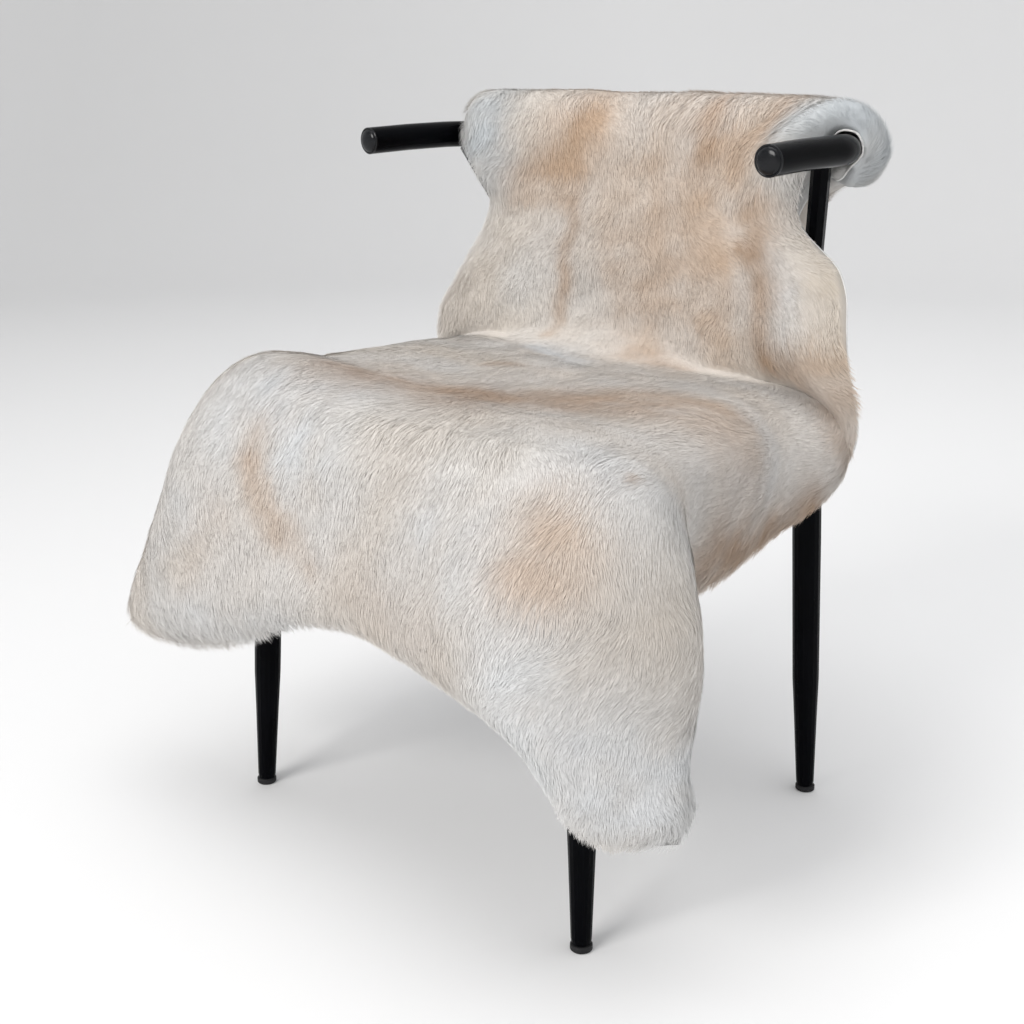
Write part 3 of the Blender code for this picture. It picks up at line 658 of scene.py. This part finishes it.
def wool_colour(rows, stations, points):
    """Wool colours from the markings, painted shade and highlights among them, with a faint
    cloudiness between ivory and white.
    """
    cloud = np.clip(0.5 + 0.5 * smooth_noise(points, 90.0, 3), 0, 1)[..., None] * 0.4
    base = np.array(COLOURS["ivory"]) * (1 - cloud) + np.array(COLOURS["white"]) * cloud
    wobble = 1 + 0.22 * smooth_noise(points, 70.0, 5) + 0.16 * smooth_noise(points, 26.0, 6)
    for name, row_a, station_a, row_b, station_b, width, colour, strength in MARKINGS:
        stroke = (name, row_a, station_a, row_b, station_b, STROKE_WIDTH * width, 0.0)
        share = segment_trough(rows, stations, stroke, points)
        share = np.clip(strength * share * wobble, 0, 1)[..., None]
        base = base * (1 - share) + np.array(COLOURS[colour]) * share
    return base


def fill(node, **values):
    """Sets a shader node's sockets by their names, with _ for a space."""
    for socket, value in values.items():
        node.inputs[socket.replace("_", " ")].default_value = value
    return node


def material(name):
    """A new material, with its nodes, its links and its shader."""
    made = bpy.data.materials.new(name)
    made.use_nodes = True
    tree = made.node_tree
    return made, tree.nodes, tree.links, tree.nodes["Principled BSDF"]


def texture(nodes, links, kind, **values):
    """A texture on the object's own coordinates."""
    made = fill(nodes.new("ShaderNodeTex" + kind), **values)
    coords = nodes.new("ShaderNodeTexCoord")
    links.new(coords.outputs["Object"], made.inputs["Vector"])
    return made


def levels(nodes, links, source, **values):
    """The socket's value, carried from one range to another."""
    made = fill(nodes.new("ShaderNodeMapRange"), **values)
    links.new(source, made.inputs["Value"])
    return made.outputs["Result"]


def tinted(nodes, links, shader, source, *stops):
    """Colours the shader by the socket's value between two stops: position and colour."""
    tint = nodes.new("ShaderNodeValToRGB")
    for element, (position, colour) in zip(tint.color_ramp.elements, stops):
        element.position = position
        element.color = (*colour, 1)
    links.new(source, tint.inputs["Fac"])
    links.new(tint.outputs["Color"], shader.inputs["Base Color"])


def bumped(nodes, links, shader, source, strength, distance):
    bump = fill(nodes.new("ShaderNodeBump"), Strength=strength, Distance=distance)
    links.new(source, bump.inputs["Height"])
    links.new(bump.outputs["Normal"], shader.inputs["Normal"])


def painted(nodes, links, shader, level):
    """Colours the shader with the painted wool colours, times the level."""
    colour = nodes.new("ShaderNodeVertexColor")
    colour.layer_name = "wool"
    mix = nodes.new("ShaderNodeVectorMath")
    mix.operation = "SCALE"
    links.new(colour.outputs["Color"], mix.inputs[0])
    links.new(level, mix.inputs["Scale"])
    links.new(mix.outputs["Vector"], shader.inputs["Base Color"])


def wool_material():
    made, nodes, links, shader = material("wool strands")
    fine = texture(nodes, links, "Noise", Scale=420.0, Detail=2.0).outputs["Fac"]
    painted(nodes, links, shader, levels(nodes, links, fine, To_Min=0.95, To_Max=1.04))
    fill(shader, Roughness=0.72, Specular_IOR_Level=0.25, Sheen_Weight=0.25, Sheen_Roughness=0.5)
    return made


def bed_material():
    made, nodes, links, shader = material("wool underpile")
    tufts = texture(nodes, links, "Noise", Scale=160.0, Detail=5.0).outputs["Fac"]
    painted(nodes, links, shader, levels(nodes, links, tufts, To_Min=0.95, To_Max=1.03))
    bumped(nodes, links, shader, tufts, 0.4, 0.002)
    fill(shader, Roughness=0.95, Specular_IOR_Level=0.1, Sheen_Weight=0.2)
    return made


def hide_material():
    made, nodes, links, shader = material("tanned hide")
    cloud = texture(nodes, links, "Noise", Scale=9.0, Detail=6.0).outputs["Fac"]
    tinted(nodes, links, shader, cloud, (0.3, (0.82, 0.815, 0.80)), (0.75, (0.86, 0.855, 0.84)))
    grain = texture(nodes, links, "Voronoi", Scale=330.0).outputs["Distance"]
    bumped(nodes, links, shader, grain, 0.8, 0.0009)
    fill(shader, Roughness=0.85)
    return made


def lacquer_material(name, colour, rough_low, rough_high, grain, bump_strength, gloss):
    made, nodes, links, shader = material(name)
    wear = texture(nodes, links, "Noise", Scale=14.0, Detail=5.0).outputs["Fac"]
    dark, light = [[share * c for c in colour] for share in (0.75, 1.3)]
    tinted(nodes, links, shader, wear, (0.35, dark), (0.7, light))
    rough = levels(nodes, links, wear, To_Min=rough_low, To_Max=rough_high)
    links.new(rough, shader.inputs["Roughness"])
    speck = texture(nodes, links, "Noise", Scale=grain, Detail=4.0).outputs["Fac"]
    bumped(nodes, links, shader, speck, bump_strength, 0.0003)
    fill(shader, Specular_IOR_Level=gloss)
    return made


def floor_material():
    """Palest beside the chair, with painted shade darker further out and up the wall, and towards
    the left seen from the camera.
    """
    made, nodes, links, shader = material("pale floor")
    where = nodes.new("ShaderNodeTexCoord").outputs["Object"]
    measured = {}
    for operation, source, value in (("SUBTRACT", None, (0.9, 0.7, 0.0)),
                                     ("LENGTH", "SUBTRACT", None),
                                     ("DOT_PRODUCT", None, (0.72, 0.69, 0.0))):
        step = nodes.new("ShaderNodeVectorMath")
        step.operation = operation
        links.new(measured[source].outputs["Vector"] if source else where, step.inputs[0])
        if value:
            step.inputs[1].default_value = value
        measured[operation] = step
    # Painted shade: the outward falloff times the darkening towards the camera's left
    painted_falloff = nodes.new("ShaderNodeMath")
    painted_falloff.operation = "MULTIPLY"
    out = levels(nodes, links, measured["LENGTH"].outputs["Value"],
                 From_Min=0.5, From_Max=6.0, To_Min=0.88, To_Max=0.74)
    side = levels(nodes, links, measured["DOT_PRODUCT"].outputs["Value"],
                  From_Min=-2.0, From_Max=0.6, To_Min=0.86, To_Max=1.02)
    links.new(out, painted_falloff.inputs[0])
    links.new(side, painted_falloff.inputs[1])
    links.new(painted_falloff.outputs["Value"], shader.inputs["Base Color"])
    fill(shader, Roughness=0.9, Specular_IOR_Level=0.1)
    return made


def paint(made, colours):
    """Stores a colour for each vertex, which the wool materials read."""
    layer = made.data.color_attributes.new("wool", "FLOAT_COLOR", "POINT")
    full = np.ones((len(made.data.vertices), 4), np.float32)
    full[:, :3] = colours
    layer.data.foreach_set("color", full.ravel())


def look(made, mat):
    """Gives a piece its material, on the chair's one body."""
    made.data.materials.clear()
    made.data.materials.append(mat)
    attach(made, "root")


def comb(points, normals, rows, stations):
    """The way that the wool lies: down the drape in slow swirls, and fanned out on the flap."""
    down = np.gradient(points, axis=0)
    down = unit(down - normals * (down * normals).sum(-1, keepdims=True))
    side = np.cross(normals, down)
    angle = 0.45 * smooth_noise(points, 160.0, 21) + 0.3 * smooth_noise(points, 60.0, 22)
    lay = down * np.cos(angle)[..., None] + side * np.sin(angle)[..., None]
    inward = -np.gradient(points, axis=1)
    inward = unit(inward - normals * (inward * normals).sum(-1, keepdims=True))
    fan = on_flap(rows, stations, (2.5, 4.0), (6.2, 7.2))
    return unit(lay * (1 - fan[..., None]) + inward * fan[..., None])


def bilinear(field, u, v):
    """A grid's values at places between its points, u down the rows and v across."""
    i = np.clip(u.astype(int), 0, field.shape[0] - 2)
    j = np.clip(v.astype(int), 0, field.shape[1] - 2)
    a, b = (u - i), (v - j)
    if field.ndim == 3:
        a, b = a[:, None], b[:, None]
    return (field[i, j] * (1 - a) * (1 - b) + field[i + 1, j] * a * (1 - b)
            + field[i, j + 1] * (1 - a) * b + field[i + 1, j + 1] * a * b)


def scatter(rng, count, ground):
    """Seeded grid places, spread evenly by the leather's own area."""
    p, q = np.diff(ground, axis=0)[:, :-1], np.diff(ground, axis=1)[:-1]
    area = np.linalg.norm(np.cross(p, q), axis=-1)
    edge = np.ones_like(area)
    for rim in (slice(None, 2), slice(-2, None)):
        edge[rim] = RIM_CROWD
        edge[:, rim] = RIM_CROWD
    chance = (area * edge).ravel()
    cell = rng.choice(len(chance), size=count, p=chance / chance.sum())
    i, j = np.divmod(cell, area.shape[1])
    return i + rng.random(count), j + rng.random(count)


def spread_edge(values, rounds=7, keep=0.8):
    """Carries the rim's outward direction a few squares inward, fading."""
    for _ in range(rounds):
        framed = np.pad(values, ((1, 1), (1, 1), (0, 0)), mode="edge")
        near = np.stack([framed[:-2, 1:-1], framed[2:, 1:-1], framed[1:-1, :-2], framed[1:-1, 2:]])
        best = np.take_along_axis(
            near, np.linalg.norm(near, axis=-1).argmax(0)[None, ..., None], axis=0)[0]
        smaller = np.linalg.norm(values, axis=-1) < keep * np.linalg.norm(best, axis=-1)
        values = np.where(smaller[..., None], keep * best, values)
    return values


def strands(name, count, seed, pelt, stations):
    """A joined piece of wool strands, each a kite of two triangles that lies along the bed.

    pelt holds grids over the skin: its ground, the wool's root, lay, way out, normal and colour.
    """
    rng = np.random.default_rng(seed)
    u, v = scatter(rng, count, pelt["ground"])
    here = {key: bilinear(field, u, v) for key, field in pelt.items()}
    ground, root, out = here["ground"], here["root"], here["out"]
    lay, skyward = unit(here["lay"]), unit(here["skyward"])
    # Tufts: strands near one another lean together
    tuft = (
        0.5 * smooth_noise(ground, 11.0, 31)[:, None] * lay
        + 0.6 * smooth_noise(ground, 13.0, 32)[:, None] * np.cross(skyward, lay)
    )
    edge = np.linalg.norm(out, axis=-1, keepdims=True)
    stray = rng.normal(size=(count, 3)) * (0.06 + 0.06 * edge)
    stray -= 0.85 * skyward * (stray * skyward).sum(-1, keepdims=True)
    # Each strand runs with the lay, lifts a little to its bend and then comes down again
    way = unit(0.07 * skyward + 0.97 * lay + 0.08 * tuft + stray + 0.6 * out)
    length = rng.uniform(*STRAND_LENGTH, count) * (1 + 0.12 * smooth_noise(ground, 26.0, 33))
    length = length * (1 - 0.1 * edge[:, 0])
    start = root - skyward * ROOT_DEPTH
    bend = unit(way + 0.13 * skyward)
    middle = start + bend * (STRAND_BEND_AT * length)[:, None]
    droop = unit(way - 0.06 * skyward + 0.5 * stray)
    tip = middle + droop * ((1 - STRAND_BEND_AT) * length)[:, None]
    side = unit(np.cross(way, unit(skyward + 0.03 * rng.normal(size=(count, 3)))))
    width = rng.uniform(*STRAND_HALF_WIDTH, count)[:, None]
    points = np.stack([start, middle - side * width, middle + side * width, tip], 1)
    base = np.arange(count)[:, None] * 4
    data = bpy.data.meshes.new(name)
    data.vertices.add(count * 4)
    data.vertices.foreach_set("co", place(points.reshape(-1, 3)).astype(np.float32).ravel())
    data.loops.add(count * 6)
    index = (base + np.array([[0, 2, 1, 1, 2, 3]])).ravel().astype(np.int32)
    data.loops.foreach_set("vertex_index", index)
    data.polygons.add(count * 2)
    starts = (np.arange(count)[:, None] * 6 + np.array([[0, 3]])).ravel().astype(np.int32)
    data.polygons.foreach_set("loop_start", starts)
    data.update(calc_edges=True)
    data.shade_smooth()
    soft = unit(skyward + 0.05 * tuft + 0.03 * rng.normal(size=(count, 3)))
    data.normals_split_custom_set_from_vertices(np.repeat(soft, 4, axis=0).tolist())
    made = bpy.data.objects.new(name, data)
    bpy.context.scene.collection.objects.link(made)
    fleck = 1 + 0.03 * smooth_noise(ground, 7.0, 41) + 0.02 * smooth_noise(ground, 19.0, 42)
    tone = here["colour"] * (fleck * rng.uniform(0.98, 1.02, count))[:, None]
    # Painted shade at each strand's root, where the strands shade one another, and a touch of
    # painted light at its tip
    root_shaded_tones = np.stack([tone * 0.98, tone, tone, tone * 1.01], 1)
    paint(made, root_shaded_tones.reshape(-1, 3))
    column = np.clip(v.astype(int), 0, len(stations) - 1)
    chart = np.stack([stations[column] / STATIONS, 1 - u / len(pelt["ground"])], 1)
    uv = data.uv_layers.new(name="OFBake")
    spots = np.repeat(chart, 6, axis=0)
    spots[:, 1] += np.tile(np.array([0, 0.0015, 0.0015, 0.0015, 0.0015, 0.003]), count)
    spots[:, 0] += np.tile(np.array([0.0004, 0.0008, 0, 0, 0.0008, 0.0004]), count)
    uv.data.foreach_set("uv", np.clip(spots, 0.001, 0.999).astype(np.float32).ravel())
    return made


def swept(name, line, radius, sides=40):
    """A round tube along a bent centre line, closed at both ends."""
    line = np.asarray(line, float)
    ways = unit(np.gradient(line, axis=0))
    side = unit(np.cross(ways[0], (0.0, 0.0, 1.0)))
    angles = np.linspace(0, 2 * math.pi, sides, endpoint=False)
    rings = []
    for point, way in zip(line, ways):
        side = unit(side - way * (side @ way))
        other = np.cross(way, side)
        circle = np.outer(np.cos(angles), side) + np.outer(np.sin(angles), other)
        rings.append(point + radius * circle)
    return ring_body(name, np.array(rings))


def turned(name, profile, foot, axis, sides=40):
    """A turned body: (radius, height) pairs from its lower end up its axis."""
    axis = unit(np.asarray(axis, float))
    side = unit(np.cross(axis, (0.3, 0.9, 0.1)))
    other = np.cross(axis, side)
    angles = np.linspace(0, 2 * math.pi, sides, endpoint=False)
    around = np.outer(np.cos(angles), side) + np.outer(np.sin(angles), other)
    rings = [foot + axis * height + around * radius for radius, height in profile]
    return ring_body(name, np.array(rings))


def ring_body(name, rings):
    """A closed mesh over rings of points, its ends filled with flat faces."""
    count, sides = rings.shape[:2]
    k = np.arange(sides)
    n = (k + 1) % sides
    faces = [k[::-1].tolist(), (k + (count - 1) * sides).tolist()]
    for r in range(count - 1):
        low, high = r * sides, (r + 1) * sides
        faces += np.stack([low + k, low + n, high + n, high + k], 1).tolist()
    data = bpy.data.meshes.new(name)
    data.from_pydata(place(rings.reshape(-1, 3)).tolist(), [], faces)
    data.shade_smooth()
    data.set_sharp_from_angle(angle=math.radians(38))
    made = bpy.data.objects.new(name, data)
    bpy.context.scene.collection.objects.link(made)
    return made


def backdrop():
    """A pale round floor whose far edge sweeps up, so that no horizon shows."""
    steps, reach, bend, top = 96, 4.2, 2.0, 4.5
    profile = [(0.0, 0.0), (1.0, 0.0), (2.5, 0.0), (reach, 0.0)]
    for k in range(1, 13):
        angle = 0.5 * math.pi * k / 12
        profile.append((reach + bend * math.sin(angle), bend * (1 - math.cos(angle))))
    profile.append((reach + bend, top))
    points = []
    for k in range(steps):
        turn = 2 * math.pi * k / steps
        for r, z in profile[1:]:
            points.append((r * math.cos(turn), r * math.sin(turn), z))
    per = len(profile) - 1
    faces = [[k * per for k in range(steps)]]
    for k in range(steps):
        n = (k + 1) % steps
        for p in range(per - 1):
            faces.append([k * per + p, k * per + p + 1, n * per + p + 1, n * per + p])
    data = bpy.data.meshes.new("floor")
    data.from_pydata(points, [], faces)
    data.shade_smooth()
    made = bpy.data.objects.new("floor", data)
    bpy.context.scene.collection.objects.link(made)
    data.materials.append(floor_material())
    return made


def area_light(name, place_at, aim, size, power, colour):
    data = bpy.data.lights.new(name, "AREA")
    data.shape = "RECTANGLE"
    data.size, data.size_y = size
    data.energy = power
    data.color = colour
    made = bpy.data.objects.new(name, data)
    made.location = place_at
    made.rotation_euler = (Vector(aim) - Vector(place_at)).to_track_quat("-Z", "Y").to_euler()
    bpy.context.scene.collection.objects.link(made)
    return made


# The skin's surface at the source's own pace, then finer
grid, rows, stations = leather_grid()
grid = relax(grid)
grid = clear_of_chair(grid, EDGE_CLEAR, EDGE_CLEAR + 1.0)
normals = surface_normals(grid)
height = pile_height(grid, rows, stations)
push = pressed(grid, normals, height)

fine_grid = finer(grid, FINE)
fine_rows = np.interp(np.linspace(0, len(rows) - 1, fine_grid.shape[0]), np.arange(len(rows)), rows)
fine_stations = np.interp(np.linspace(0, len(stations) - 1, fine_grid.shape[1]),
                          np.arange(len(stations)), stations)
fine_push = finer(calmed(push, PUSH_ROUNDS), FINE)
fine_normals = surface_normals(fine_grid)

# Hide: a sheet 2 mm thick
hide_grid = fine_grid.copy()
bare_rows = {}
for name, column, first, middle, last, reach in BARE_EDGES:
    bare = ramp(fine_rows, first, middle) * ramp(-fine_rows, -last, -middle)
    bare_rows[column] = bare
    step = 1 if column == 0 else -1
    out = unit(fine_grid[:, column] - fine_grid[:, column + 4 * step])
    for k, share in enumerate(BARE_FADE):
        hide_grid[:, column + k * step] += out * (reach * share * bare)[:, None]
hide_under = clear_of_chair(hide_grid, CHAIR_CLEAR, CHAIR_CLEAR)
hide = closed_sheet("hide", hide_under, hide_under + fine_normals * HIDE_THICK)
look(hide, hide_material())

# The way out of the sheet near its rims, but not where the hide is bare or the flap curls
outward = np.zeros_like(fine_grid)
for edge, inner in (((0, slice(None)), (1, slice(None))), ((-1, slice(None)), (-2, slice(None))),
                    ((slice(None), 0), (slice(None), 1)), ((slice(None), -1), (slice(None), -2))):
    outward[edge] += unit(fine_grid[edge] - fine_grid[inner])
outward = spread_edge(outward)
for column, bare in bare_rows.items():
    part_of = slice(0, 8) if column == 0 else slice(-8, None)
    outward[:, part_of] *= (1 - bare)[:, None, None]
calm = on_flap(fine_rows, fine_stations, (2.0, 3.5), (6.6, 7.4))
outward *= (1 - calm)[..., None]

# Pile bed: the body of the wool, on the hide
colours = wool_colour(fine_rows, fine_stations, fine_grid)
share = np.ones(fine_grid.shape[:2])
for k, value in enumerate(BED_RIM):
    for edge in ((k, slice(None)), (-1 - k, slice(None)), (slice(None), k), (slice(None), -1 - k)):
        share[edge] = np.minimum(share[edge], value)
lumps = 1 + 0.015 * smooth_noise(fine_grid, 60.0, 8)
bed_low = hide_under + fine_normals * (HIDE_THICK + BED_LIFT)
bed_high = bed_low + fine_push * ((BED_SHARE + 0.2 * calm) * share * lumps)[..., None]
bed_high += RIM_REACH * outward
bed_high = clear_of_chair(bed_high, CHAIR_CLEAR, CHAIR_CLEAR)
bed = closed_sheet("underpile", bed_low, bed_high)
paint(bed, BED_SHADE * np.concatenate([colours.reshape(-1, 3)] * 2))
look(bed, bed_material())

# Wool strands, joined in a few pieces
comb_field = comb(bed_high, surface_normals(bed_high), fine_rows, fine_stations)
bed_normals = unit(calmed(surface_normals(bed_high), NORMAL_ROUNDS))
pelt = {"ground": fine_grid, "root": bed_high, "lay": comb_field, "out": outward,
        "skyward": bed_normals, "colour": colours}
wool = wool_material()
for k in range(PIECES):
    seed = STRAND_SEED + k
    piece = strands("fur_%d" % (k + 1), STRANDS // PIECES, seed, pelt, fine_stations)
    look(piece, wool)

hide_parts("skin")

# Chair
steel = lacquer_material("black lacquer", (0.0016, 0.0018, 0.0026), 0.12, 0.22, 700.0, 0.04, 0.03)
board = lacquer_material("seat black", (0.014, 0.014, 0.015), 0.5, 0.7, 420.0, 0.3, 0.3)
plastic = lacquer_material("cap black", (0.003, 0.0035, 0.005), 0.14, 0.22, 520.0, 0.03, 0.3)
rubber = lacquer_material("glide black", (0.012, 0.012, 0.013), 0.5, 0.75, 600.0, 0.25, 0.3)
for node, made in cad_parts.items():
    for used in made.material_slots:
        if node.startswith("glide"):
            used.material = rubber
        elif node == "seat":
            used.material = board
        elif node.startswith("arm_cap"):
            used.material = plastic
        elif node != "skin":
            used.material = steel

horn = swept("horn", horn_line(SMOOTH_STEPS, SMOOTH_STEPS), HORN_R)
look(horn, steel)
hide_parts("horn_tube")
for side, name in ((1, "right"), (-1, "left")):
    tip, behind = np.array(mirrored(HORN_TIP, side)), np.array(mirrored(HORN_ARM_MIDDLE, side))
    out = unit(tip - behind)
    dome = turned("dome_" + name, CAP_DOME, tip + out * GAP, out)
    look(dome, plastic)
    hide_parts("arm_cap_" + name)

# Floor, light and camera
backdrop()

area_light("key", (-0.1, -5.1, 3.2), (0.0, 0.0, 0.4), (2.6, 2.2), 186.0, (1.0, 0.985, 0.965))
area_light("left", (-4.6, -1.6, 2.6), (0.0, 0.0, 0.45), (2.8, 2.4), 3.0, (0.96, 0.98, 1.0))
area_light("top", (0.1, -0.3, 4.3), (0.0, 0.0, 0.3), (3.4, 2.8), 50.0, (1.0, 1.0, 1.0))

world = bpy.data.worlds.new("studio")
bpy.context.scene.world = world
world.use_nodes = True
world.node_tree.nodes["Background"].inputs["Color"].default_value = (0.98, 0.985, 1.0, 1)
world.node_tree.nodes["Background"].inputs["Strength"].default_value = 0.84

camera = bpy.data.cameras.new("camera")
camera.sensor_width = 36.0
camera.lens = 51.5
camera_object = bpy.data.objects.new("camera", camera)
camera_object.location = (1.0594, -1.1006, 0.8064)
camera_object.rotation_euler = Euler((math.radians(90 - 16.838), 0.0, math.radians(44.08)))
bpy.context.scene.collection.objects.link(camera_object)
bpy.context.scene.camera = camera_object
bpy.context.scene.view_settings.view_transform = "Standard"
